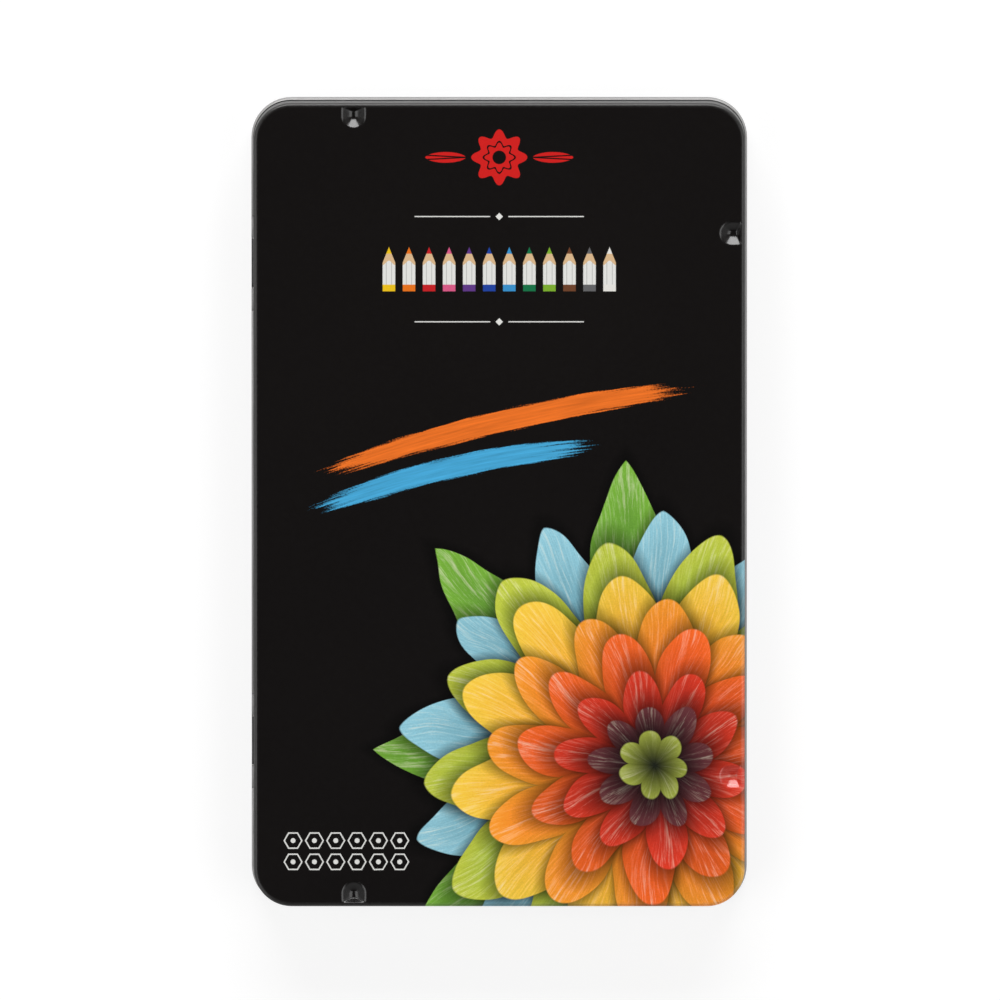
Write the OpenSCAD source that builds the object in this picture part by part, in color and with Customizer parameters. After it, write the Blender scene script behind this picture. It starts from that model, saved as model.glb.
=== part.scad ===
// Flat hinged tin for twelve coloured pencils, closed.
// Origin at the middle of the foot ring, +Z up through the lid, +Y along the pencils towards their points.
// The hinge runs along the -X side. All sizes are in millimetres.

/* [Pencils] */
// Number of pencils
pencil_count = 12; // [10:1:13]
// Length of a pencil
pencil_length = 175; // [120:0.5:180]
// Wooden casing across the flats
wood_across = 6.7; // [6:0.05:7.4]
// Height of the pencils' middle above the table
pencil_height = 7.2; // [6.5:0.05:8]
// Gap between the corners of neighbouring pencils
pencil_gap = 0.42; // [0.36:0.02:0.6]
// Thickness of the lacquer on the barrel
lacquer_coat = 0.1; // [0.08:0.01:0.12]
// Thickness of the dipped end's coat on the flats
dip_coat = 0.15; // [0.13:0.01:0.2]
// Length of the dipped end
dip_length = 16; // [8:0.5:30]
// Width of the pale ring between dip and barrel
ring_width = 3; // [1:0.1:6]
// Radius of the dome at the dipped end
end_dome_radius = 6.5; // [5.5:0.1:12]
// Thickness of the dip over the end of the wood
end_dome_coat = 0.3; // [0.2:0.05:0.6]
// Diameter of the coloured lead
lead_diameter = 3.6; // [2.5:0.1:4]
// Length of the sharpened point, measured to the flats
point_length = 18; // [12:0.5:26]
// Diameter of the blunt tip of the lead
tip_diameter = 0.7; // [0.4:0.1:1.2]

/* [Foam pad] */
// Thickness of the foam pad that is glued inside the lid
foam_thickness = 3; // [2.9:0.1:6]
// Gap between the foam pad and the highest pencil corners
foam_gap = 0.48; // [0.4:0.02:1]
// Gap between the foam pad and the lid's dimples
foam_margin = 0.4; // [0.3:0.1:10]
// Corner radius of the foam pad
foam_corner = 5; // [2:0.5:12]

/* [Tray] */
// Thickness of the tray's plastic sheet
tray_sheet = 0.4; // [0.3:0.05:0.45]
// Gap between the tray and the body's rim
tray_gap = 0.36; // [0.3:0.02:0.5]
// Height of the shelf round the tray
tray_shelf_height = 10.6; // [9:0.1:11.5]
// Width of the shelf along the tray's long sides
side_shelf = 2.9; // [2.6:0.1:20]
// Width of the shelf at the tray's short ends
end_shelf = 1.21; // [1.1:0.01:20]
// Gap between a groove and the corners of its pencil
groove_gap = 0.15; // [0.1:0.01:0.17]
// Bend radius of the ridges between the grooves, on the sheet's middle
ridge_bend = 0.5; // [0.4:0.05:0.7]
// Gap between a pencil's ends and the ends of its groove
groove_end_gap = 1.25; // [0.9:0.05:4]
// Corner radius of the well that holds the pencils, seen from above
well_corner = 3; // [2.5:0.1:3.2]
// Width of the finger trough across the tray
trough_width = 30; // [16:1:60]

/* [Tin] */
// Corner radius of the body's shoulder, seen from above
corner_radius = 9.2; // [8.8:0.1:10.2]
// Thickness of the tinplate
plate = 0.28; // [0.2:0.01:0.3]

/* [Body] */
// How far the floor panel stands above the foot ring
floor_rise = 0.4; // [0.2:0.05:1]
// Width of the flat foot ring that the tin stands on
foot_ring_width = 2; // [1:0.1:2.4]
// Bend radius between the foot ring and the floor panel
floor_bend = 1; // [0.6:0.1:1.2]
// Inside radius of the bottom edge
bottom_edge_radius = 1.86; // [1:0.02:2.4]
// Height of the shoulder that the lid closes down to
shoulder_height = 5.5; // [5.3:0.1:6.5]
// Bend radius of the shoulder, on the sheet's middle
shoulder_bend = 0.5; // [0.3:0.05:0.6]
// Gap between the rim and the lid's dimples above it
rim_gap = 0.32; // [0.3:0.02:1.5]
// Radius of the rim's curl, on the sheet's middle
rim_curl = 0.45; // [0.3:0.05:0.55]
// How far the rim's curl is turned
rim_turn = 270; // [200:10:280]

/* [Lid] */
// How far the lid's skirt stands in from the body's shoulder
lid_inset = 0.55; // [0.3:0.05:0.7]
// Outside radius of the lid's top edge
lid_edge_radius = 0.8; // [0.6:0.1:2]
// Gap between the lid's hem and the shoulder
hem_gap = 0.9; // [0.3:0.05:1.2]
// Height of the folded hem
hem_height = 1.6; // [1:0.1:3]
// Bend radius of the hem's fold, on the sheet's middle
hem_fold = 0.16; // [0.15:0.01:0.25]
// Gap between the hem and the body's upper wall
skirt_fit = 0.35; // [0.33:0.01:0.5]

/* [Dimples] */
// Width of a dimple on the lid's top
dimple_width = 5.6; // [4:0.1:7]
// Where a dimple starts, in from the lid's edge
dimple_start = 0.85; // [0.8:0.05:1.6]
// How far a dimple reaches in from the lid's edge
dimple_reach = 5.8; // [5.4:0.1:7]
// Depth of a dimple
dimple_depth = 1.5; // [1:0.1:2]
// Lean of a dimple's outer wall
dimple_lean = 32; // [0:1:40]
// Place of the dimples on the two short ends, towards the hinge
end_dimple_offset = 33.4; // [10:0.1:40]
// Distance between the two dimples on the front
front_dimple_spacing = 125; // [60:1:150]

/* [Hinge] */
// Distance between the middles of the two hinges
hinge_spacing = 110; // [60:1:140]
// Length of one hinge along the back
hinge_length = 22; // [16:1:30]
// Length of the lid's curl in each hinge
lid_curl_length = 11; // [6:0.5:13]
// Gap between the lid's curl and the body's ears, along the pin
hinge_play = 0.4; // [0.3:0.05:0.8]
// How far the pin lies below the shoulder
pin_drop = 1.1; // [1.05:0.05:1.3]
// Diameter of the hinge pin
pin_diameter = 1; // [0.8:0.05:1]
// Gap between the pin and the curls round it
pin_clearance = 0.05; // [0.03:0.01:0.08]

/* [Hidden] */
$fn = 64;
PIGMENTS = [
    "gold", "orange", "red", "hotpink", "purple", "royalblue",
    "deepskyblue", "seagreen", "yellowgreen", "saddlebrown", "black", "white"
];
function pigment(i) = PIGMENTS[(i - 1) % len(PIGMENTS)];
function two_digits(i) = str(i < 10 ? "0" : "", i);
function pencil_name(i, piece) = str("pencil_", two_digits(i), "_", piece);
PENCIL_PIECES = ["wood", "lead", "lacquer", "dip"];

// Turn of one short straight on a drawn bend
arc_step = 15;
// Overlap of pieces that are fused into one pressing
fuse = 0.2;

// Heights: the lid with its foam pad stays clear of the pencils, and the rim clear of the dimples
corner_reach = (wood_across / 2 + dip_coat) / cos(30);
foam_bottom = pencil_height + corner_reach + foam_gap;
tin_height = foam_bottom + foam_thickness + plate;
rim_height = tin_height - dimple_depth - plate - rim_gap;

// Tray: a well with a groove for each pencil, and a shelf round it
groove_pitch = 2 * corner_reach + pencil_gap;
groove_radius = corner_reach + groove_gap;
groove_bend = groove_radius + tray_sheet / 2;
ridge_drop = sqrt(pow(groove_bend + ridge_bend, 2) - pow(groove_pitch / 2, 2));
ridge_lean = asin(ridge_drop / (groove_bend + ridge_bend));
well_width = (pencil_count - 1) * groove_pitch + 2 * groove_radius;
well_length = pencil_length + 2 * groove_end_gap;
well_lap = 0.5;
tray_underside = pencil_height - groove_radius - tray_sheet;
tray_width = well_width + 2 * side_shelf;
tray_length = well_length + 2 * end_shelf;

// Tin: the rim fits round the tray, the lid's hem round the upper wall, the shoulder round the lid
hem_thickness = 2 * hem_fold + plate;
upper_wall_inset = lid_inset + hem_thickness + skirt_fit;
rim_inset = upper_wall_inset + plate + 2 * rim_curl;
tray_inset = rim_inset + tray_gap;
tin_width = tray_width + 2 * tray_inset;
tin_length = tray_length + 2 * tray_inset;
tray_corner = corner_radius - tray_inset;

// Body
bottom_bend = bottom_edge_radius + plate / 2;
floor_bend_turn = acos(1 - floor_rise / (2 * floor_bend));
floor_bend_width = 2 * floor_bend * sin(floor_bend_turn);
shoulder_flat = upper_wall_inset - 2 * shoulder_bend;
floor_top = floor_rise + plate;

// Lid: the formed edge carries a flange this wide, and the flat panel fills what is left
lid_width = tin_width - 2 * lid_inset;
lid_length = tin_length - 2 * lid_inset;
lid_corner = corner_radius - lid_inset;
hem_bottom = shoulder_height + hem_gap;
lid_flange = 3;

// Hinge: the pin lies just inside the body's outer wall
bore_radius = pin_diameter / 2 + pin_clearance;
curl_radius = bore_radius + plate;
curl_setback = 0.02;
curl_inset = curl_radius + curl_setback;
pin_x = curl_inset - tin_width / 2;
pin_height = shoulder_height - pin_drop;
window_rise = 0.7;
window_top = shoulder_height + window_rise;
window_gap = 0.35;
ear_length = (hinge_length - lid_curl_length) / 2 - hinge_play;
pin_end = 0.5;
pin_chamfer = 0.15;

// Foam pad
foam_inset = dimple_reach + plate + foam_margin;

// Dimple: a round punch that lies level, with a ball end
punch_radius = (pow(dimple_width / 2, 2) + pow(dimple_depth, 2)) / (2 * dimple_depth);
punch_centre = dimple_reach - dimple_width / 2;

// Pencils: the point's slope carries on from the lead over the wood and the lacquer
point_slope = point_length / (wood_across / 2 - tip_diameter / 2);
function point_at(radius) = pencil_length - (radius - tip_diameter / 2) * point_slope;
function pencil_x(i) = (i - (pencil_count + 1) / 2) * groove_pitch;
function pencil_roll(i) = (i * 23) % 60;

// A sheet bent along a path
// Each bend is [straight before it, radius on the sheet's middle, turn to the left]
function left_of(heading, distance) = distance * [-sin(heading), cos(heading)];
function ahead(heading, distance) = distance * [cos(heading), sin(heading)];
function sheet_side(start, heading, bends, side, i = 0) =
    i == len(bends) ? [] :
    let (
        straight = bends[i][0],
        radius = bends[i][1],
        turn = bends[i][2],
        hand = sign(turn),
        corner = start + ahead(heading, straight),
        centre = corner + left_of(heading, hand * radius),
        steps = max(1, ceil(abs(turn) / arc_step))
    )
    concat(
        straight > 0 ? [corner + left_of(heading, side)] : [],
        turn == 0 ? [] :
            [for (k = [1 : steps]) centre + left_of(heading + turn * k / steps, side - hand * radius)],
        sheet_side(centre + left_of(heading + turn, -hand * radius), heading + turn, bends, side, i + 1)
    );
function backwards(points) = [for (i = [len(points) - 1 : -1 : 0]) points[i]];
function bent_sheet(start, heading, bends, thickness) = concat(
    [start + left_of(heading, thickness / 2)],
    sheet_side(start, heading, bends, thickness / 2),
    backwards(sheet_side(start, heading, bends, -thickness / 2)),
    [start + left_of(heading, -thickness / 2)]
);

module rounded_rectangle(width, length, radius)
{
    square([width - 2 * radius, length], center = true);
    square([width, length - 2 * radius], center = true);
    for (x = [-1, 1], y = [-1, 1])
        translate([x * (width / 2 - radius), y * (length / 2 - radius)])
            circle(radius);
}

// Carries a cross-section round the tin
// Its x is the distance out from the corner's centre, and its y is the height
module round_the_tin(width, length, radius)
{
    for (half_turn = [0, 180])
        rotate(half_turn) {
            translate([width / 2 - radius, length / 2 - radius, 0]) {
                rotate([90, 0, 0])
                    linear_extrude(length - 2 * radius) children();
                rotate_extrude(angle = 90) children();
            }
            translate([radius - width / 2, length / 2 - radius, 0])
                rotate(90) {
                    rotate([90, 0, 0])
                        linear_extrude(width - 2 * radius) children();
                    rotate_extrude(angle = 90) children();
                }
        }
}

module body_section()
{
    panel_edge = corner_radius - plate / 2 - bottom_bend - foot_ring_width - floor_bend_width;
    wall_rise = shoulder_height - plate - bottom_bend - shoulder_bend;
    rim_rise = rim_height - plate / 2 - rim_curl - (shoulder_height - plate / 2 + shoulder_bend);
    polygon(bent_sheet([panel_edge, floor_rise + plate / 2], 0, [
        [0, floor_bend, -floor_bend_turn],
        [0, floor_bend, floor_bend_turn],
        [foot_ring_width, bottom_bend, 90],
        [wall_rise, shoulder_bend, 90],
        [shoulder_flat, shoulder_bend, -90],
        [rim_rise, rim_curl, rim_turn]
    ], plate));
}

module hinge_places()
{
    for (y = [-1, 1] * hinge_spacing / 2)
        translate([pin_x, y, pin_height])
            children();
}

module hinge_curl(length)
{
    rotate([90, 0, 0])
        difference() {
            cylinder(r = curl_radius, h = length, center = true);
            cylinder(r = bore_radius, h = length + 1, center = true);
        }
}

module base()
{
    panel_inset = plate + bottom_edge_radius + foot_ring_width + floor_bend_width - fuse;
    outside = curl_inset + window_gap;
    inside = upper_wall_inset + plate + window_gap - curl_inset;
    lid_gap = lid_curl_length + 2 * hinge_play;
    color("lightgray") {
        difference() {
            union() {
                round_the_tin(tin_width, tin_length, corner_radius) body_section();
                translate([0, 0, floor_rise])
                    linear_extrude(plate)
                        rounded_rectangle(tin_width - 2 * panel_inset, tin_length - 2 * panel_inset,
                            corner_radius - panel_inset);
            }
            hinge_places() {
                translate([-outside, -hinge_length / 2, 0])
                    cube([outside + inside, hinge_length, window_top - pin_height]);
                translate([-outside, -lid_gap / 2, -curl_radius - window_gap])
                    cube([outside + inside, lid_gap, curl_radius + 2 * window_gap]);
            }
        }
        hinge_places()
            for (y = [-1, 1] * (hinge_length - ear_length) / 2)
                translate([0, y, 0])
                    hinge_curl(ear_length);
    }
}

// The flat part of the lid's top, lapped a little under the formed edge
module lid_panel_outline()
{
    inset = lid_flange - fuse;
    rounded_rectangle(lid_width - 2 * inset, lid_length - 2 * inset, lid_corner - inset);
}

// The lid's outside as a solid, which trims the dimples
module lid_form()
{
    top_edge = sheet_side([lid_corner - lid_flange, tin_height - plate / 2], 0,
        [[lid_flange - lid_edge_radius, lid_edge_radius - plate / 2, -90]], plate / 2);
    round_the_tin(lid_width, lid_length, lid_corner)
        polygon(concat(
            [[lid_corner - lid_flange, hem_bottom], [lid_corner - lid_flange, tin_height]],
            top_edge,
            [[lid_corner, hem_bottom]]
        ));
    translate([0, 0, hem_bottom])
        linear_extrude(tin_height - hem_bottom) lid_panel_outline();
}

module lid_section()
{
    edge_bend = lid_edge_radius - plate / 2;
    polygon(bent_sheet([lid_corner - lid_flange, tin_height - plate / 2], 0, [
        [lid_flange - lid_edge_radius, edge_bend, -90],
        [tin_height - lid_edge_radius - hem_bottom - hem_fold - plate / 2, hem_fold, -180],
        [hem_height - hem_fold - plate / 2, 0, 0]
    ], plate));
}

// Each place is at the lid's edge, level with its top
module dimple_places()
{
    for (half_turn = [0, 180])
        translate([-end_dimple_offset, 0, 0])
            rotate(half_turn)
                translate([0, lid_length / 2, tin_height])
                    children();
    for (y = [-1, 1] * front_dimple_spacing / 2)
        translate([lid_width / 2, y, tin_height])
            rotate(-90)
                children();
}

// The punch points in from the lid's edge, along -Y
module punch(radius)
{
    translate([0, 0, punch_radius - dimple_depth])
        rotate([90, 0, 0])
            rotate_extrude() {
                intersection() {
                    translate([0, punch_centre])
                        circle(radius);
                    translate([0, punch_centre])
                        square([radius, radius]);
                }
                square([radius, punch_centre]);
            }
}

// A dimple's pocket, or with a wall the outside of the sheet round it
module dimple(wall)
{
    intersection() {
        punch(punch_radius + wall);
        translate([0, -dimple_start, 0])
            rotate([-dimple_lean, 0, 0])
                translate([-dimple_width, wall - 2 * dimple_reach, -dimple_reach])
                    cube(2 * [dimple_width, dimple_reach, dimple_reach]);
    }
}

module lid()
{
    neck_bottom = pin_height + (bore_radius + curl_radius) / 2;
    color([0.08, 0.08, 0.08]) {
        difference() {
            union() {
                round_the_tin(lid_width, lid_length, lid_corner) lid_section();
                translate([0, 0, tin_height - plate])
                    linear_extrude(plate) lid_panel_outline();
            }
            dimple_places() dimple(0);
        }
        intersection() {
            dimple_places()
                difference() {
                    dimple(plate);
                    dimple(0);
                }
            lid_form();
        }
        hinge_places()
            hinge_curl(lid_curl_length);
        for (y = [-1, 1] * hinge_spacing / 2)
            translate([-lid_width / 2, y - lid_curl_length / 2, neck_bottom])
                cube([plate, lid_curl_length, hem_bottom + plate - neck_bottom]);
    }
}

module hinge_pins()
{
    straight = hinge_length + 2 * (pin_end - pin_chamfer);
    end_diameter = pin_diameter - 2 * pin_chamfer;
    color("silver")
        hinge_places()
            rotate([90, 0, 0]) {
                cylinder(d = pin_diameter, h = straight, center = true);
                for (end = [0, 1])
                    mirror([0, 0, end])
                        translate([0, 0, straight / 2])
                            cylinder(d1 = pin_diameter, d2 = end_diameter, h = pin_chamfer);
            }
}

// The formed sheet from the well's left side, through the grooves and over the ridges, to its right side
well_side = [-well_width / 2 - tray_sheet / 2, pencil_height + well_lap];
groove_bends = concat(
    [[well_lap, groove_bend, 180 - ridge_lean]],
    [for (i = [2 : pencil_count - 1], hand = [-1, 1])
        [0, hand < 0 ? ridge_bend : groove_bend, hand * (180 - 2 * ridge_lean)]],
    [[0, ridge_bend, 2 * ridge_lean - 180], [0, groove_bend, 180 - ridge_lean], [well_lap, 0, 0]]
);

module well_outline(wall)
{
    rounded_rectangle(well_width + 2 * wall, well_length + 2 * wall, well_corner + wall);
}

module tray_outline(wall)
{
    rounded_rectangle(tray_width - 2 * wall, tray_length - 2 * wall, tray_corner - wall);
}

module well_wall(bottom, top)
{
    translate([0, 0, bottom])
        linear_extrude(top - bottom)
            difference() {
                well_outline(tray_sheet);
                well_outline(0);
            }
}

module trough()
{
    width = well_width + tray_sheet;
    height = well_side.y - floor_top;
    translate([0, 0, floor_top + tray_sheet / 2])
        cube([width, trough_width + tray_sheet, tray_sheet], center = true);
    for (side = [-1, 1]) {
        translate([0, side * (trough_width + tray_sheet) / 2, 0])
            rotate([90, 0, 0])
                linear_extrude(tray_sheet, center = true)
                    polygon(concat(
                        [well_side + [tray_sheet / 2, 0]],
                        sheet_side(well_side, -90, groove_bends, tray_sheet / 2),
                        [[width / 2, floor_top], [-width / 2, floor_top]]
                    ));
        translate([side * width / 2, 0, floor_top + height / 2])
            cube([tray_sheet, trough_width + 2 * tray_sheet, height], center = true);
    }
}

module inner_tray()
{
    run = (well_length - trough_width) / 2;
    color("whitesmoke") {
        translate([0, 0, tray_shelf_height - tray_sheet])
            linear_extrude(tray_sheet)
                difference() {
                    tray_outline(0);
                    well_outline(0);
                }
        translate([0, 0, floor_top])
            linear_extrude(tray_shelf_height - floor_top)
                difference() {
                    tray_outline(0);
                    tray_outline(tray_sheet);
                }
        well_wall(pencil_height, tray_shelf_height);
        intersection() {
            well_wall(tray_underside, pencil_height);
            for (side = [-1, 1])
                translate([-tin_width / 2, side * well_length / 2 - well_corner, 0])
                    cube([tin_width, 2 * well_corner, tin_height]);
        }
        intersection() {
            for (side = [-1, 1])
                translate([0, side * (trough_width + run) / 2, 0])
                    rotate([90, 0, 0])
                        linear_extrude(run, center = true)
                            polygon(bent_sheet(well_side, -90, groove_bends, tray_sheet));
            linear_extrude(tin_height)
                well_outline(tray_sheet);
        }
        trough();
    }
}

module foam_pad()
{
    color("whitesmoke")
        translate([0, 0, foam_bottom])
            linear_extrude(foam_thickness)
                rounded_rectangle(lid_width - 2 * foam_inset, lid_length - 2 * foam_inset,
                    foam_corner);
}

module pencil_place(i)
{
    translate([pencil_x(i), -pencil_length / 2, pencil_height])
        rotate([-90, 0, 0])
            rotate(pencil_roll(i))
                children();
}

// A turned form: domed at the back, sharpened at the front, with the given radius between them
module turned_form(radius, end_coat)
{
    rotate_extrude()
        intersection() {
            polygon([
                [0, 0], [radius, 0], [radius, point_at(radius)],
                [tip_diameter / 2, pencil_length], [0, pencil_length]
            ]);
            union() {
                translate([0, end_dome_radius])
                    circle(end_dome_radius - end_coat);
                translate([0, end_dome_radius])
                    square([end_dome_radius - end_coat, pencil_length]);
            }
        }
}

module hexagonal_bar(across, bottom, top)
{
    translate([0, 0, bottom])
        cylinder(d = across / cos(30), h = top - bottom, $fn = 6);
}

module hexagonal_form(across, end_coat)
{
    intersection() {
        hexagonal_bar(across, 0, pencil_length);
        turned_form(corner_reach + 0.4, end_coat);
    }
}

module pencil_wood(i)
{
    color("burlywood")
        pencil_place(i)
            difference() {
                hexagonal_form(wood_across, end_dome_coat);
                translate([0, 0, -1])
                    cylinder(d = lead_diameter, h = pencil_length + 2);
            }
}

module pencil_lead(i)
{
    color(pigment(i))
        pencil_place(i)
            turned_form(lead_diameter / 2, end_dome_coat);
}

module lacquer_coat_over(bottom, top)
{
    difference() {
        intersection() {
            hexagonal_bar(wood_across + 2 * lacquer_coat, bottom, top);
            turned_form(corner_reach + 0.4, end_dome_coat);
        }
        hexagonal_bar(wood_across, bottom - 1, top + 1);
    }
}

module pencil_lacquer(i)
{
    pencil_place(i) {
        color("ivory")
            lacquer_coat_over(dip_length, dip_length + ring_width);
        color([0.08, 0.08, 0.08])
            lacquer_coat_over(dip_length + ring_width, pencil_length);
    }
}

module pencil_dip(i)
{
    color(pigment(i))
        pencil_place(i)
            difference() {
                intersection() {
                    hexagonal_bar(wood_across + 2 * dip_coat, 0, dip_length);
                    turned_form(corner_reach + 0.4, 0);
                }
                hexagonal_form(wood_across, end_dome_coat);
            }
}

base();
lid();
hinge_pins();
inner_tray();
foam_pad();
for (i = [1 : pencil_count]) {
    pencil_wood(i);
    pencil_lead(i);
    pencil_lacquer(i);
    pencil_dip(i);
}
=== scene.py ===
"""A closed flat tin for twelve coloured pencils, dressed piece by piece in the order it is put together."""
import math

import bmesh
import bpy
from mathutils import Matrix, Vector


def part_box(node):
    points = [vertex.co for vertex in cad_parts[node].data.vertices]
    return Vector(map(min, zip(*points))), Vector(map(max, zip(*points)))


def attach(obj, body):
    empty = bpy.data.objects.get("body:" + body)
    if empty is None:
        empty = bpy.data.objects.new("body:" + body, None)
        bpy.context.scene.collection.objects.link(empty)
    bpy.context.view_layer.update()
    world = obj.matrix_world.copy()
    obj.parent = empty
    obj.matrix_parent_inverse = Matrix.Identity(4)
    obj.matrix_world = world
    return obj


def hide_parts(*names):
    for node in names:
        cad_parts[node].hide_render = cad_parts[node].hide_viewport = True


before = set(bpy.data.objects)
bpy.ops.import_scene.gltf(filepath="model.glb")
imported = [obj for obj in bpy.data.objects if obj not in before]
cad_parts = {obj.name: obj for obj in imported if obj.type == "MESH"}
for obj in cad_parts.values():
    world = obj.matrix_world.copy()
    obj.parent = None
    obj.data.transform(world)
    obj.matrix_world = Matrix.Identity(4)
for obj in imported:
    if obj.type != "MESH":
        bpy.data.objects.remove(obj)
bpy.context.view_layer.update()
mm = 0.001

# ---------------------------------------------------------------- camera
# The photograph looks almost straight down through a long lens, from a little past the far end,
# with the pencils' points at the top of the picture.
lid_low, lid_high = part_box("lid")
picture_width = 229.45 * mm
camera_distance = 8
camera_tilt = math.radians(4.5)
aim = Vector((0.17 * mm, 1.2 * mm, lid_high.z))
camera_data = bpy.data.cameras.new("camera")
camera_data.sensor_width = 36
camera_data.lens = camera_data.sensor_width * camera_distance / picture_width
camera_data.clip_start, camera_data.clip_end = 0.1, 30
camera = bpy.data.objects.new("camera", camera_data)
bpy.context.scene.collection.objects.link(camera)
camera.location = aim + camera_distance * Vector((0, math.sin(camera_tilt), math.cos(camera_tilt)))
camera.rotation_euler = (-camera_tilt, 0, 0)
bpy.context.scene.camera = camera
bpy.context.scene.view_settings.view_transform = "Standard"


# ---------------------------------------------------------------- studio
# A pale floor under one large soft box beyond the far end and a weaker one on each side.
# Straight overhead the studio is dark, so the flat black lid stays black.
class Signal:
    """One output of a shader node. Arithmetic on it adds Math nodes."""

    def __init__(self, socket):
        self.socket = socket

    def make(self, kind, inputs=(), output=0, stops=(), **settings):
        """Adds a node: its settings first, then the values or links of its sockets."""
        tree = self.socket.id_data
        node = tree.nodes.new("ShaderNode" + kind)
        for name, value in settings.items():
            setattr(node, name, value)
        if stops:
            ramp = node.color_ramp.elements
            while len(ramp) < len(stops):
                ramp.new(1)
            for element, (place, colour) in zip(ramp, stops):
                element.position, element.color = place, colour
        for key, value in dict(inputs).items():
            if isinstance(value, Signal):
                tree.links.new(value.socket, node.inputs[key])
            else:
                node.inputs[key].default_value = value
        return Signal(node.outputs[output])

    def math(self, operation, *others, clamp=False):
        return self.make("Math", dict(enumerate((self, *others))), operation=operation, use_clamp=clamp)

    def __add__(self, other):
        return self.math("ADD", other)

    def __radd__(self, other):
        return self.math("ADD", other)

    def __sub__(self, other):
        return self.math("SUBTRACT", other)

    def __rsub__(self, other):
        return self.make("Math", {0: other, 1: self}, operation="SUBTRACT")

    def __mul__(self, other):
        return self.math("MULTIPLY", other)

    def __rmul__(self, other):
        return self.math("MULTIPLY", other)

    def __truediv__(self, other):
        return self.math("DIVIDE", other)

    def __pow__(self, other):
        return self.math("POWER", other)

    def __abs__(self):
        return self.math("ABSOLUTE")

    def ramp_up(self, low, high):
        """0 below low, 1 above high, a straight slope between."""
        return self.make("MapRange", {"Value": self, "From Min": low, "From Max": high}, clamp=True)

    def least(self, other):
        return self.math("MINIMUM", other)

    def most(self, other):
        return self.math("MAXIMUM", other)

    def mix(self, below, above):
        """Blends two colours, with this signal as the share of the one above."""
        return self.make("Mix", {0: self, 6: below, 7: above}, output=2, data_type="RGBA")

    def shade(self, colour):
        """Multiplies a colour by this signal."""
        colour = colour if isinstance(colour, Signal) else colour[:3]
        return self.make("VectorMath", {0: colour, "Scale": self}, operation="SCALE")

    def noise(self, scale, detail=2.0, roughness=0.5, output=0):
        """Noise at this place."""
        inputs = {"Vector": self, "Scale": scale, "Detail": detail, "Roughness": roughness}
        return self.make("TexNoise", inputs, output=output)

    def relief(self, depth):
        """A normal that stands this height out by so many millimetres."""
        return self.make("Bump", {"Strength": 1.0, "Distance": depth * mm, "Height": self})

    def axes(self):
        return [self.make("SeparateXYZ", {0: self}, output=k) for k in range(3)]


def point(x, y, z):
    """A place made of three signals or numbers."""
    first = next(s for s in (x, y, z) if isinstance(s, Signal))
    return first.make("CombineXYZ", {0: x, 1: y, 2: z})


def ink(red, green, blue):
    """A printed or painted colour, given as a screen shows it."""
    channels = [c / 255 for c in (red, green, blue)]
    return (*(c / 12.92 if c <= 0.04045 else ((c + 0.055) / 1.055) ** 2.4 for c in channels), 1)


def open_tree(tree, kind):
    """Clears a node tree. Gives its new output, what the camera sees and what mirrors and glass see."""
    tree.nodes.clear()
    output = tree.nodes.new(kind)
    path = tree.nodes.new("ShaderNodeLightPath")
    mirrored = Signal(path.outputs["Is Glossy Ray"]).most(Signal(path.outputs["Is Transmission Ray"]))
    return output, Signal(path.outputs["Is Camera Ray"]), mirrored


world = bpy.data.worlds.new("studio")
world.use_nodes = True
bpy.context.scene.world = world
output, seen, mirrored = open_tree(world.node_tree, "ShaderNodeOutputWorld")
direction = seen.make("TexCoord", output="Generated")
height = direction.axes()[2]
horizon_light, zenith_light = 0.62, 0.03
room = horizon_light - (horizon_light - zenith_light) * height.ramp_up(0.12, 0.62)
backdrop = seen.most(mirrored * (1 - height.ramp_up(0.04, 0.14)))
lit = room + backdrop * (1 - room)
background = seen.make("Background", {"Color": lit, "Strength": 1.0})
world.node_tree.links.new(background.socket, output.inputs[0])

floor_size = 6.0
floor_drop = 0.02 * mm
floor_glow, floor_gleam = 0.77, 0.1
floor_mesh = bmesh.new()
bmesh.ops.create_grid(floor_mesh, x_segments=4, y_segments=4, size=floor_size / 2)
floor_data = bpy.data.meshes.new("floor")
floor_mesh.to_mesh(floor_data)
floor_mesh.free()
floor = bpy.data.objects.new("floor", floor_data)
floor.location.z = -floor_drop
bpy.context.scene.collection.objects.link(floor)
paper = bpy.data.materials.new("floor_paper")
paper.use_nodes = True
output, seen, mirrored = open_tree(paper.node_tree, "ShaderNodeOutputMaterial")
glow = seen.make("Emission", {"Color": seen * floor_glow + mirrored * floor_gleam, "Strength": 1.0})
matte = seen.make("BsdfDiffuse", {"Color": seen.mix((0.88, 0.88, 0.88, 1), (0.3, 0.3, 0.3, 1))})
both = seen.make("AddShader", {0: glow, 1: matte})
paper.node_tree.links.new(both.socket, output.inputs[0])
floor_data.materials.append(paper)


def soft_box(name, place, width, height, radiance):
    """A soft box that faces the tin, as bright all over as radiance says."""
    data = bpy.data.lights.new(name, "AREA")
    data.shape = "RECTANGLE"
    data.size, data.size_y = width, height
    data.energy = radiance * math.pi * width * height
    lamp = bpy.data.objects.new(name, data)
    lamp.location = place
    lamp.rotation_euler = (-Vector(place)).to_track_quat("-Z", "Y").to_euler()
    lamp.visible_camera = False
    bpy.context.scene.collection.objects.link(lamp)


soft_box("far_box", (0, 1.5, 0.82), 1.7, 0.58, 8.5)
soft_box("low_box", (0, 1.75, 0.26), 2.0, 0.36, 1.5)
soft_box("left_box", (-1.2, -0.35, 1.4), 1.6, 1.1, 2.0)
soft_box("right_box", (1.2, -0.35, 1.4), 1.6, 1.1, 2.0)


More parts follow.
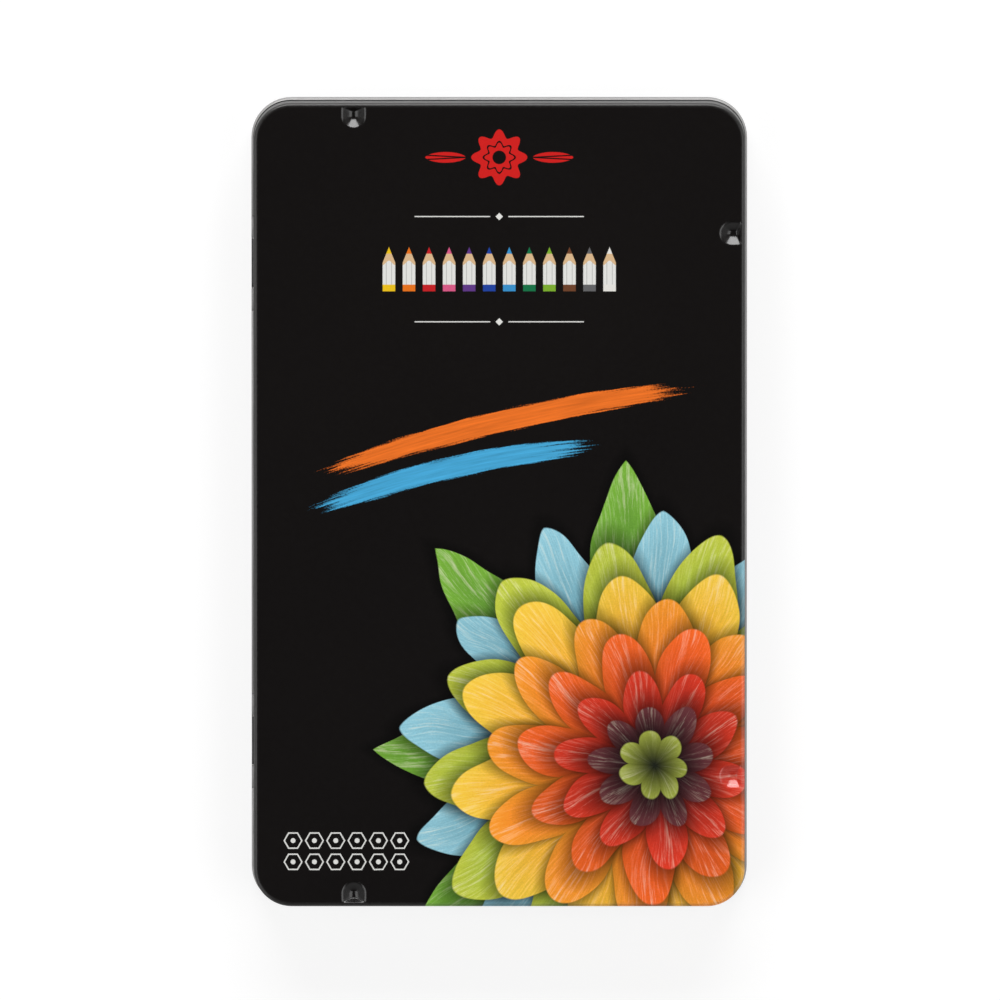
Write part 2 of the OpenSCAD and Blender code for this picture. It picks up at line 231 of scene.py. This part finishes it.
# ---------------------------------------------------------------- base
# The pan is one drawn tinplate pressing. It stands on a narrow foot ring, steps in at the shoulder
# that the lid closes down to, and ends in a rim curled inwards. At the back its wall is cut into
# ears that are rolled round the hinge pins.
plate = 0.28 * mm
pin_low, pin_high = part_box("hinge_pins")
pin_x, pin_z = (pin_low.x + pin_high.x) / 2, (pin_low.z + pin_high.z) / 2
hinge_middle = 55 * mm
hinge_length = 22 * mm
lid_curl_length = 11 * mm
hinge_play = 0.4 * mm
hinge_reach = 3 * mm
wire_radius = (pin_high.x - pin_low.x) / 2


def draw_section(bm, start, heading, bends):
    """Draws the middle line of a bent sheet as a wire in the XZ plane, and gives its edges.
    Each bend is (straight before it, steps in it, bend radius, turn to the left in degrees)."""
    tip = bm.verts.new((start[0], 0, start[1]))
    heading = math.radians(heading)
    for straight, steps, radius, turn in bends:
        for _ in range(steps):
            tip = bmesh.ops.extrude_vert_indiv(bm, verts=[tip])["verts"][0]
            tip.co += Vector((math.cos(heading), 0, math.sin(heading))) * straight / steps
        if turn:
            left = Vector((-math.sin(heading), 0, math.cos(heading)))
            centre = tip.co + left * math.copysign(radius, turn)
            spun = bmesh.ops.spin(
                bm, geom=[tip], cent=centre, axis=(0, -1, 0), angle=math.radians(turn),
                steps=max(3, round(abs(turn) / 9)))
            tip = [v for v in spun["geom_last"] if isinstance(v, bmesh.types.BMVert)][0]
            heading += math.radians(turn)
    return list(bm.edges)


def carry_round(bm, section, half_width, half_length, corner, stations, corner_steps=14):
    """Sweeps a section round a rounded rectangle, from the right side's near end.
    The section's x is its distance out from a corner's centre. Stations are the extra stops
    along each of the four sides, as places on that side from its middle."""
    reach = Vector((half_width - corner, half_length - corner))
    bmesh.ops.translate(bm, verts=bm.verts, vec=(reach.x, -reach.y, 0))
    ring = section
    for side in range(4):
        along = Vector((0, 1, 0)) if side == 0 else Vector((-1, 0, 0)) if side == 1 else \
            Vector((0, -1, 0)) if side == 2 else Vector((1, 0, 0))
        half = reach.y if side % 2 == 0 else reach.x
        stops = [-half, *sorted(stations[side]), half]
        for before, after in zip(stops, stops[1:]):
            grown = bmesh.ops.extrude_edge_only(bm, edges=ring)["geom"]
            verts = [g for g in grown if isinstance(g, bmesh.types.BMVert)]
            bmesh.ops.translate(bm, verts=verts, vec=along * (after - before))
            ring = [g for g in grown if isinstance(g, bmesh.types.BMEdge)
                    and g.verts[0] in verts and g.verts[1] in verts]
        sign = ((1, 1), (-1, 1), (-1, -1), (1, -1))[side]
        spun = bmesh.ops.spin(
            bm, geom=ring + list({v for e in ring for v in e.verts}),
            cent=(sign[0] * reach.x, sign[1] * reach.y, 0), axis=(0, 0, 1),
            angle=math.pi / 2, steps=corner_steps)
        ring = [g for g in spun["geom_last"] if isinstance(g, bmesh.types.BMEdge)]
    bmesh.ops.remove_doubles(bm, verts=bm.verts, dist=0.0005 * mm)


def close_loop(bm, height):
    """Fills the open loop that lies level at this height, and gives its face."""
    loop = [e for e in bm.edges if e.is_boundary and all(abs(v.co.z - height) < 1e-7 for v in e.verts)]
    return bmesh.ops.contextual_create(bm, geom=loop)["faces"]


def finish_piece(bm, name, body, materials, sheet=0, crease=35):
    """Turns a bmesh into a piece that rides on a body. A sheet gets its thickness both ways."""
    for face in bm.faces:
        face.smooth = True
    for edge in bm.edges:
        edge.smooth = len(edge.link_faces) != 2 or edge.calc_face_angle() < math.radians(crease)
    mesh = bpy.data.meshes.new(name)
    bm.to_mesh(mesh)
    bm.free()
    piece = bpy.data.objects.new(name, mesh)
    bpy.context.scene.collection.objects.link(piece)
    for material in materials:
        mesh.materials.append(material)
    if sheet:
        thicken = piece.modifiers.new("thickness", "SOLIDIFY")
        thicken.thickness = sheet
        thicken.offset = 0
        thicken.use_even_offset = True
        thicken.material_offset = len(materials) - 1
        thicken.material_offset_rim = len(materials) - 1
    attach(piece, body)
    return piece


def start_material(name):
    """A new material with one Principled shader. Gives it, the shader and the object's own place in mm."""
    material = bpy.data.materials.new(name)
    material.use_nodes = True
    tree = material.node_tree
    shader = tree.nodes["Principled BSDF"]
    coordinates = tree.nodes.new("ShaderNodeTexCoord")
    place = Signal(coordinates.outputs["Object"])
    return material, shader, place.make("VectorMath", {0: place, "Scale": 1000}, operation="SCALE")


def feed(shader, **sockets):
    """Sets or links the shader's sockets. A name's underlines stand for spaces."""
    for name, value in sockets.items():
        socket = shader.inputs[name.replace("_", " ")]
        if isinstance(value, Signal):
            shader.id_data.links.new(value.socket, socket)
        else:
            socket.default_value = value


tinplate, shader, place = start_material("bare_tinplate")
x, y, z = place.axes()
rolled = point(x * 9, y * 0.12, z * 9).noise(1, 3, 0.6)
cloud = place.noise(0.045, 3)
smudge = place.noise(0.6, 2)
colour = (cloud * 0.7 + rolled * 0.3).mix(ink(176, 172, 170), ink(206, 203, 200))
feed(shader, Base_Color=colour, Metallic=1.0, Roughness=0.24 + 0.12 * rolled + 0.08 * smudge,
     Normal=rolled.relief(0.0006))

base_low, base_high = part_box("base")
shoulder_corner = 9.2 * mm
floor_rise = 0.4 * mm
foot_ring_width = 2 * mm
floor_bend = 1 * mm
bottom_bend = 1.86 * mm + plate / 2
shoulder_height = 5.5 * mm
shoulder_bend = 0.5 * mm
upper_wall_inset = 1.5 * mm
rim_curl = 0.45 * mm
rim_turn = 270
window_top = shoulder_height + 0.7 * mm
window_gap = 0.35 * mm
pin_clearance = 0.05 * mm
ear_radius = wire_radius + pin_clearance + plate
ear_turn = math.radians(300)
curl_steps = 24

floor_turn = math.degrees(math.acos(1 - floor_rise / (2 * floor_bend)))
panel_edge = shoulder_corner - plate / 2 - bottom_bend - foot_ring_width \
    - 2 * floor_bend * math.sin(math.radians(floor_turn))
window_low = pin_z - ear_radius - window_gap
wall_start = plate / 2 + bottom_bend
wall_end = shoulder_height - plate / 2 - shoulder_bend
upper_start = shoulder_height - plate / 2 + shoulder_bend
rim_start = base_high.z - plate / 2 - rim_curl


def inset_from(high, corner, x, y):
    """How many millimetres in from a rounded rectangle's outline a place near that outline is."""
    beside = (abs(x) - (high.x - corner) / mm).most(0)
    beyond = (abs(y) - (high.y - corner) / mm).most(0)
    return corner / mm - (beside * beside + beyond * beyond) ** 0.5


# The outside is sprayed with grey lacquer. The shoulder's top is painted paler as a painted highlight, and
# the seam under the lid is painted near black as painted shade.
grey_lacquer, shader, place = start_material("grey_lacquer")
x, y, z = place.axes()
cloud = place.noise(0.05, 2)
peel = place.noise(0.9, 2)
inset = inset_from(base_high, shoulder_corner, x, y)
# Painted highlight: the shoulder's top is painted paler than the wall below it, as if lit from above.
shoulder_top = z.ramp_up(shoulder_height / mm - 0.7, shoulder_height / mm - 0.2)
lacquer_and_painted_highlight = (shoulder_top * 0.8 + cloud * 0.2).mix(ink(120, 119, 119), ink(168, 167, 166))
# Painted shade: where the shoulder's flat lies under the lid's hem, the lacquer is painted near black.
seam_top = z.ramp_up(shoulder_height / mm + 0.2, shoulder_height / mm + 0.6)
painted_seam_shade = shoulder_top * (1 - seam_top) * inset.ramp_up(0.34, 0.46)
feed(shader, Base_Color=painted_seam_shade.mix(lacquer_and_painted_highlight, ink(16, 15, 15)), Metallic=0.1,
     Roughness=0.36 + 0.08 * peel, Coat_Weight=0.1, Coat_Roughness=0.2, Normal=peel.relief(0.003))

base_mesh = bmesh.new()
section = draw_section(base_mesh, (panel_edge, floor_rise + plate / 2), 0, [
    (0, 0, floor_bend, -floor_turn),
    (0, 0, floor_bend, floor_turn),
    (foot_ring_width, 1, bottom_bend, 90),
    (window_low - wall_start, 1, 0, 0),
    (pin_z - window_low, 1, 0, 0),
    (wall_end - pin_z, 1, shoulder_bend, 90),
    (upper_wall_inset - 2 * shoulder_bend, 1, shoulder_bend, -90),
    (window_top - upper_start, 1, 0, 0),
    (rim_start - window_top, 1, rim_curl, rim_turn),
])
lid_gap = lid_curl_length + 2 * hinge_play
hinge_stops = [side * hinge_middle + edge for side in (-1, 1)
               for edge in (-hinge_length / 2, -lid_gap / 2, lid_gap / 2, hinge_length / 2)]
carry_round(base_mesh, section, base_high.x, base_high.y, shoulder_corner, [[], [], hinge_stops, []])
close_loop(base_mesh, floor_rise + plate / 2)


def in_hinge(spot, half, low, high):
    """Whether a spot lies at the back, within half a length of a hinge's middle and between two heights."""
    at_back = spot.x < -base_high.x + hinge_reach
    return at_back and abs(abs(spot.y) - hinge_middle) < half and low < spot.z < high


windows = [f for f in base_mesh.faces
           if in_hinge(f.calc_center_median(), hinge_length / 2, pin_z, window_top)
           or in_hinge(f.calc_center_median(), lid_gap / 2, window_low, window_top)]
bmesh.ops.delete(base_mesh, geom=windows, context="FACES")
ears = [e for e in base_mesh.edges
        if all(abs(v.co.z - pin_z) < 0.001 * mm for v in e.verts)
        and in_hinge((e.verts[0].co + e.verts[1].co) / 2, hinge_length / 2, 0, base_high.z)]
bmesh.ops.spin(base_mesh, geom=ears + list({v for e in ears for v in e.verts}),
               cent=(pin_x, 0, pin_z), axis=(0, 1, 0), angle=ear_turn, steps=curl_steps)
bmesh.ops.remove_doubles(base_mesh, verts=base_mesh.verts, dist=0.0005 * mm)
bmesh.ops.recalc_face_normals(base_mesh, faces=base_mesh.faces)
base_shell = finish_piece(
    base_mesh, "base_shell", "base", [grey_lacquer, tinplate], sheet=plate)
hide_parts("base")

# ---------------------------------------------------------------- hinge pins
# Two lengths of drawn steel wire, one through the ears of each hinge.
pin_wire, shader, place = start_material("pin_wire")
x, y, z = place.axes()
drawn = point(x * 12, y * 0.3, z * 12).noise(1, 2)
feed(shader, Base_Color=drawn.mix(ink(150, 148, 146), ink(190, 188, 186)), Metallic=1.0,
     Roughness=0.22 + 0.15 * drawn, Normal=drawn.relief(0.001))


def dress(node, material):
    """Gives a CAD node its finish."""
    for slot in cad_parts[node].material_slots:
        slot.material = material


dress("hinge_pins", pin_wire)

# ---------------------------------------------------------------- inner tray
# A vacuum-formed plastic sheet with a groove for each pencil and a finger trough across it.
tray_plastic, shader, place = start_material("tray_plastic")
flow = place.noise(0.05, 2)
feed(shader, Base_Color=flow.mix(ink(216, 216, 214), ink(232, 232, 230)), Roughness=0.28 + 0.1 * flow,
     Coat_Weight=0.15, Coat_Roughness=0.1, Normal=place.noise(0.3, 2).relief(0.03))
dress("inner_tray", tray_plastic)

# ---------------------------------------------------------------- pencils
# Twelve hexagonal cedar pencils: a waxy coloured core in a sharpened casing, black gloss lacquer
# with a pale ring, and a domed end dipped in the pencil's own colour.
PIGMENTS = {
    "yellow": ink(245, 200, 30), "orange": ink(240, 120, 30), "red": ink(205, 35, 40),
    "pink": ink(225, 95, 140), "violet": ink(100, 60, 140), "blue": ink(35, 70, 165),
    "sky": ink(60, 150, 210), "green": ink(25, 120, 75), "leaf": ink(130, 180, 50),
    "brown": ink(115, 70, 45), "black": ink(30, 29, 28), "white": ink(238, 236, 230),
}
pencil_length = 175.0
dip_length = 16.0
ring_width = 3.0

cedar, shader, place = start_material("pencil_wood")
x, y, z = place.axes()
fibre = point(x * 3.5, y * 0.12, z * 3.5).noise(1, 4, 0.6)
band = point(x * 0.9, y * 0.03, z * 0.9).noise(1, 2)
feed(shader, Base_Color=(fibre * 0.6 + band * 0.4).mix(ink(196, 150, 105), ink(226, 190, 146)),
     Roughness=0.55 + 0.2 * fibre, Normal=fibre.relief(0.03))

lacquer, shader, place = start_material("barrel_lacquer")
x, y, z = place.axes()
ring_edge = dip_length + ring_width - pencil_length / 2
ring = 1 - y.ramp_up(ring_edge - 0.05, ring_edge + 0.05)
orange_peel = point(x, y * 0.5, z).noise(1.2, 2)
feed(shader, Base_Color=ring.mix(ink(24, 23, 23), ink(232, 226, 210)), Roughness=0.16 + 0.08 * orange_peel,
     Coat_Weight=0.6, Coat_Roughness=0.06, Normal=orange_peel.relief(0.004))

for number, (name, pigment) in enumerate(PIGMENTS.items(), 1):
    wax, shader, place = start_material("lead_" + name)
    mottle = place.noise(2.2, 3)
    feed(shader, Base_Color=(0.85 + 0.3 * mottle).shade(pigment), Roughness=0.42 + 0.2 * mottle,
         Normal=mottle.relief(0.03))
    paint, shader, place = start_material("dip_" + name)
    sag = place.noise(0.5, 2)
    feed(shader, Base_Color=(0.94 + 0.12 * sag).shade(pigment), Roughness=0.14 + 0.08 * sag,
         Coat_Weight=0.5, Coat_Roughness=0.05, Normal=sag.relief(0.006))
    for part, material in (("wood", cedar), ("lead", wax), ("lacquer", lacquer), ("dip", paint)):
        dress(f"pencil_{number:02d}_{part}", material)

# ---------------------------------------------------------------- lid
# The cover is one drawn pressing, printed black with a picture and varnished. Its skirt ends in a
# folded hem, four pockets are pressed into its top, and two tabs are rolled round the pins.
lid_corner = 8.65 * mm
edge_radius = 0.8 * mm
hem_bottom = shoulder_height + 0.9 * mm
hem_fold = 0.16 * mm
hem_height = 1.6 * mm
flange = 7.4 * mm
flange_steps = 38
pocket_width = 5.6 * mm
pocket_start = 0.85 * mm
pocket_reach = 5.8 * mm
pocket_depth = 1.5 * mm
pocket_slope = math.radians(34)
pocket_lean = math.radians(32)
end_pocket_x = -33.4 * mm
front_pocket_y = 62.5 * mm
pocket_room = 3.5 * mm
pocket_steps = 40
pocket_margin = 0.4 * mm
pocket_bend = 0.3 * mm
pocket_lip = 0.1 * mm
tab_turn = math.radians(295)

lid_mesh = bmesh.new()
skirt_end = hem_bottom + hem_fold + plate / 2
section = draw_section(lid_mesh, (lid_corner - flange, lid_high.z - plate / 2), 0, [
    (flange - edge_radius, flange_steps, edge_radius - plate / 2, -90),
    (lid_high.z - edge_radius - skirt_end, 1, hem_fold, -180),
    (hem_height - hem_fold - plate / 2, 1, 0, 0),
])
pocket_stops = [pocket_room * (2 * k / pocket_steps - 1) for k in range(pocket_steps + 1)]
tab_stops = [side * hinge_middle + edge
             for side in (-1, 1) for edge in (-lid_curl_length / 2, lid_curl_length / 2)]
carry_round(lid_mesh, section, lid_high.x, lid_high.y, lid_corner, [
    [side * front_pocket_y + s for side in (-1, 1) for s in pocket_stops],
    [-end_pocket_x + s for s in pocket_stops],
    tab_stops,
    [end_pocket_x + s for s in pocket_stops],
])
top_face = close_loop(lid_mesh, lid_high.z - plate / 2)

punch_middle = pocket_reach - pocket_width / 2


def soft_least(first, second, blend):
    """The smaller of two heights, rounded where they meet."""
    return (first + second - math.sqrt((first - second) ** 2 + blend ** 2)) / 2


def pressed(across, inward):
    """How deep the punch presses the sheet at a spot, from its place across and inward of the edge.
    The pocket is a cone with a flat floor, drawn out towards the edge to a steep outer wall."""
    away = math.hypot(across, max(0, inward - punch_middle))
    cone = (pocket_width / 2 - away) * math.tan(pocket_slope)
    outer_wall = (inward - pocket_start) / math.tan(pocket_lean)
    depth = soft_least(soft_least(cone, pocket_depth, pocket_bend), outer_wall, pocket_bend)
    return -soft_least(-depth, 0, pocket_lip)


for vert in lid_mesh.verts:
    spot = vert.co
    if spot.z < lid_high.z - edge_radius:
        continue
    places = [(spot.x - end_pocket_x, lid_high.y - abs(spot.y))]
    places += [(spot.y - side * front_pocket_y, lid_high.x - spot.x) for side in (-1, 1)]
    for across, inward in places:
        if abs(across) < pocket_room * 0.999 and pocket_margin < inward < flange * 0.98:
            fade = min(1, (inward - pocket_margin) / pocket_margin)
            vert.co.z -= fade * pressed(across, inward)

tabs = [f for f in lid_mesh.faces
        if in_hinge(f.calc_center_median(), lid_curl_length / 2, 0, hem_bottom + hem_height + plate)
        and f.calc_center_median().z < hem_bottom + hem_height
        and not (abs(f.calc_center_median().x + lid_high.x - plate / 2) < 0.01 * mm
                 and f.calc_center_median().z > skirt_end)]
bmesh.ops.delete(lid_mesh, geom=tabs, context="FACES")
tab_edges = [e for e in lid_mesh.edges
             if all(abs(v.co.z - skirt_end) < 0.001 * mm for v in e.verts)
             and in_hinge((e.verts[0].co + e.verts[1].co) / 2, lid_curl_length / 2, 0, lid_high.z)
             and abs(e.verts[0].co.x + lid_high.x - plate / 2) < 0.01 * mm]
neck_bend = 0.3 * mm
curl_middle = ear_radius - plate / 2
neck_x = -lid_high.x + plate / 2 - pin_x
neck_drop = math.sqrt((neck_bend + curl_middle) ** 2 - (neck_x - neck_bend) ** 2)
neck_turn = math.pi / 2 - math.atan2(neck_bend - neck_x, neck_drop)
grown = bmesh.ops.extrude_edge_only(lid_mesh, edges=tab_edges)["geom"]
neck_verts = [g for g in grown if isinstance(g, bmesh.types.BMVert)]
bmesh.ops.translate(lid_mesh, verts=neck_verts, vec=(0, 0, pin_z + neck_drop - skirt_end))
neck_edges = [g for g in grown
              if isinstance(g, bmesh.types.BMEdge) and all(v in neck_verts for v in g.verts)]
for centre, axis, turn, steps in (
        ((pin_x + neck_x - neck_bend, 0, pin_z + neck_drop), (0, 1, 0), neck_turn, 8),
        ((pin_x, 0, pin_z), (0, -1, 0), tab_turn, curl_steps)):
    spun = bmesh.ops.spin(lid_mesh, geom=neck_edges + list({v for e in neck_edges for v in e.verts}),
                          cent=centre, axis=axis, angle=turn, steps=steps)
    neck_edges = [g for g in spun["geom_last"] if isinstance(g, bmesh.types.BMEdge)]
bmesh.ops.remove_doubles(lid_mesh, verts=lid_mesh.verts, dist=0.0005 * mm)
bmesh.ops.recalc_face_normals(lid_mesh, faces=lid_mesh.faces)

printed, shader, place = start_material("printed_tinplate")
x, y, z = place.axes()
BLACK = ink(14, 11, 11)
WHITE = ink(236, 236, 232)

# The flower: rings of petals round one middle, from the leaves behind to the dark heart.
flower_x, flower_y = 35.5, -60.0
flower_wobble = 6
shadow_reach = 5.0
wobble = place.noise(0.045, 1, output=1).axes()
across = x - flower_x + (wobble[0] - 0.5) * flower_wobble
upward = y - flower_y + (wobble[1] - 0.5) * flower_wobble
radius = (across * across + upward * upward) ** 0.5
turn = upward.math("ARCTAN2", across) / (2 * math.pi)
grain = place.noise(2.4, 2, 0.7)
art = place.noise(0.02, 1).mix(BLACK, ink(20, 17, 16))

RINGS = [
    # radius, petals, phase, notch, point, colour at the foot, colour at the tip
    (70, 9, 0.10, 0.62, 1.1, ink(20, 66, 40), ink(120, 176, 60)),
    (61, 13, 0.35, 0.40, 1.5, ink(34, 100, 120), ink(152, 210, 226)),
    (55, 13, 0.85, 0.34, 1.7, ink(66, 140, 60), ink(196, 206, 70)),
    (47, 12, 0.20, 0.34, 1.8, ink(228, 132, 30), ink(250, 206, 70)),
    (39, 12, 0.70, 0.34, 1.9, ink(220, 78, 30), ink(252, 158, 48)),
    (31, 11, 0.30, 0.34, 2.0, ink(170, 34, 30), ink(244, 104, 38)),
    (23, 10, 0.75, 0.36, 2.0, ink(96, 20, 28), ink(222, 60, 38)),
    (15, 9, 0.15, 0.36, 2.0, ink(34, 22, 30), ink(104, 52, 56)),
    (8, 7, 0.60, 0.30, 2.2, ink(28, 32, 24), ink(160, 170, 70)),
]
for index, (size, petals, phase, notch, tip, foot_colour, tip_colour) in enumerate(RINGS):
    spot = turn * petals + phase
    number = spot.math("FLOOR").math("FLOORED_MODULO", petals)
    own = spot.make("TexWhiteNoise", {"W": number + index * 31.7}, noise_dimensions="1D")
    sideways = spot.math("FRACT") - 0.5
    away = abs(sideways) * 2
    edge = size * (0.93 + 0.1 * own) * (1 - notch * away ** tip)
    inside = (edge - radius).ramp_up(-0.15, 0.25)
    shadow = (radius - edge).ramp_up(-0.5, shadow_reach)
    along = (radius / edge).math("POWER", 1.6, clamp=True)
    strokes = point(sideways * (size * 0.75), radius * 0.09, own * 40 + index * 5.3).noise(1.1, 4, 0.75)
    light = (0.62 + 0.75 * strokes + 0.25 * own) * (1 - 0.5 * away ** 3) * (0.8 + 0.4 * grain)
    petal = along.mix(foot_colour, tip_colour)
    glint = ((1 - away) ** 2) * along * strokes.ramp_up(0.5, 0.7) * 0.6
    petal = glint.mix(light.shade(petal), ink(255, 246, 220))
    art = inside.mix((0.3 + 0.7 * shadow).shade(art), petal)

# Two long tapering pencil strokes, one orange and one blue.
slope = math.radians(13)
stroke_bow = 2.4
for middle_x, middle_y, half_long, half_wide, band_colour in (
        (1.0, 19.4, 43.0, 2.7, ink(242, 118, 40)), (-11.0, 8.6, 33.0, 2.7, ink(74, 172, 220))):
    lengthwise = (x - middle_x) * math.cos(slope) + (y - middle_y) * math.sin(slope)
    bow = lengthwise * lengthwise * (stroke_bow / half_long ** 2)
    crosswise = (y - middle_y) * math.cos(slope) - (x - middle_x) * math.sin(slope) + bow
    hairs = point(lengthwise * 0.07, crosswise * 1.7, middle_x).noise(1, 3, 0.6)
    spent = (abs(lengthwise) / half_long) ** 3 + (abs(crosswise) / half_wide) ** 3
    cover = (hairs * 1.5 + grain * 0.55 - spent * 0.95).ramp_up(0.22, 0.5)
    art = cover.mix(art, (0.55 + 0.9 * hairs).shade(band_colour))

# The heading: twelve upright pencils between two rules.
pencil_pitch, pencils_y, barrel, cone = 4.6, 49.2, 6.6, 3.6
half_barrel, dip_top, lead_rise = 1.45, 1.5, 2.0
rule_half_long, rule_half_thick, bead_half, bead_gap = 19.5, 0.17, 0.9, 2.0
column = x / pencil_pitch + 6
in_row = 1 - abs(column - 6).ramp_up(5.999, 6.001)
aside = abs(column.math("FRACT") - 0.5) * pencil_pitch
risen = y - pencils_y
half = half_barrel * (1 - (risen - barrel).most(0) / cone)
shape = in_row * (half - aside).ramp_up(-0.05, 0.07) * risen.ramp_up(-0.05, 0.07)
chips = column.make("ValToRGB", {0: column.math("FLOOR") / 12 + 0.02}, stops=[
    (k / 12, ink(104, 104, 106) if name == "black" else pigment)
    for k, (name, pigment) in enumerate(PIGMENTS.items())])
chips.socket.node.color_ramp.interpolation = "CONSTANT"
facet = 1 - 0.45 * (0.1 - abs(aside - 0.62)).ramp_up(0, 0.06)
scallop = barrel - 0.1 + 0.5 * (aside * 2.2).math("COSINE")
icon = risen.ramp_up(dip_top, dip_top + 0.1).mix(chips, facet.shade(WHITE))
icon = (risen - scallop).ramp_up(0, 0.1).mix(icon, ink(226, 190, 146))
icon = risen.ramp_up(barrel + lead_rise, barrel + lead_rise + 0.1).mix(icon, chips)
art = shape.mix(art, icon)
for rule_y in (66.4, 42.2):
    rule = (rule_half_thick - abs(y - rule_y)).ramp_up(0, 0.1) * (rule_half_long - abs(x)).ramp_up(0, 0.2)
    rule = rule * abs(x).ramp_up(bead_gap, bead_gap + 0.2)
    bead = (1 - abs(x) / bead_half - abs(y - rule_y) / bead_half).ramp_up(0, 0.12)
    art = rule.most(bead).mix(art, WHITE)

# A red rosette with two sprigs above the heading.
rosette_y, rosette_radius, lobe_height, heart_radius = 80.0, 5.6, 0.9, 1.5
sprig_start, sprig_length = 7.6, 9.4
up = y - rosette_y
from_rosette = (x * x + up * up) ** 0.5
lobes = (up.math("ARCTAN2", x) * 8).math("COSINE")
rosette = (rosette_radius + lobe_height * lobes - from_rosette).ramp_up(0, 0.15)
rosette = rosette * (from_rosette - heart_radius).ramp_up(0, 0.12)
rosette = rosette * (abs(from_rosette - 3.1 - 0.5 * lobes) - 0.16).ramp_up(0, 0.12)
sprig_x = ((abs(x) - sprig_start) / sprig_length).most(0)
sprig = (1.5 * (sprig_x * (1 - sprig_x).most(0)) ** 0.6 * 2 - abs(up)).ramp_up(0, 0.15)
sprig = sprig * (abs(abs(up) - 0.5 * sprig_x) - 0.1).ramp_up(0, 0.1)
sprig = sprig * abs(x).ramp_up(sprig_start, sprig_start + 0.2)
art = rosette.most(sprig).mix(art, ink(214, 34, 32))

# Twelve small hexagons low on the left, like the pencils' ends.
hex_pitch, hex_x, hex_y = 4.9, -49.8, -84.6
hex_radius, hex_line, core_radius = 1.75, 0.2, 0.62
column = (x - hex_x) / hex_pitch
row = (y - hex_y) / hex_pitch
cell_x = abs(column.math("FRACT") - 0.5) * hex_pitch
cell_y = abs(row.math("FRACT") - 0.5) * hex_pitch
hexagon = (cell_x * 0.866 + cell_y * 0.5).most(cell_y)
in_row = (1 - abs(column - 3).ramp_up(2.999, 3.001)) * (1 - abs(row - 1).ramp_up(0.999, 1.001))
art = (in_row * (hex_line - abs(hexagon - hex_radius)).ramp_up(0, 0.1)).mix(art, WHITE)
core = (core_radius - (cell_x * cell_x + cell_y * cell_y) ** 0.5).ramp_up(0, 0.12)
art = (in_row * core).mix(art, WHITE)

# The picture is printed on the top alone, and black goes round the edge and down the skirt.
art = z.ramp_up(lid_high.z / mm - 2.6, lid_high.z / mm - 2.4).mix(BLACK, art)
peel = place.noise(0.9, 2)
handled = 1 - inset_from(lid_high, lid_corner, x, y).ramp_up(0.3, 1.1)
scuffs = point(x * 2, y * 2, z * 0.5).noise(0.8, 3)
art = (handled * scuffs * 0.12).mix(art, ink(150, 149, 147))
feed(shader, Base_Color=art, Roughness=0.2 + 0.06 * peel + handled * (0.1 + 0.12 * scuffs),
     Coat_Weight=0.25 * (1 - handled), Coat_Roughness=0.12, Normal=peel.relief(0.003))
lid_shell = finish_piece(lid_mesh, "lid_shell", "lid", [printed, tinplate], sheet=plate)
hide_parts("lid")

# ---------------------------------------------------------------- foam pad
# A pad of fine closed-cell foam glued inside the lid, which keeps the pencils from rattling.
foam_low, foam_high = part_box("foam_pad")
foam_corner = 5 * mm
foam_edge = 0.5 * mm
foam_border = 3 * mm
foam_mesh = bmesh.new()
section = draw_section(foam_mesh, (foam_corner - foam_border, foam_low.z), 0, [
    (foam_border - foam_edge, 2, foam_edge, 90),
    (foam_high.z - foam_low.z - foam_edge, 2, 0, 0),
])
carry_round(foam_mesh, section, foam_high.x, foam_high.y, foam_corner, [[], [], [], []], 10)
close_loop(foam_mesh, foam_low.z)
close_loop(foam_mesh, foam_high.z)
bmesh.ops.recalc_face_normals(foam_mesh, faces=foam_mesh.faces)
foam, shader, place = start_material("foam")
cells = place.make("TexVoronoi", {"Vector": place, "Scale": 3.2})
fine = place.noise(4, 2)
feed(shader, Base_Color=(cells * 0.8).mix(ink(226, 226, 222), ink(244, 244, 241)), Roughness=0.85,
     Normal=(cells + fine * 0.5).relief(0.05))
pad = finish_piece(foam_mesh, "foam_cushion", "lid", [foam])
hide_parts("foam_pad")
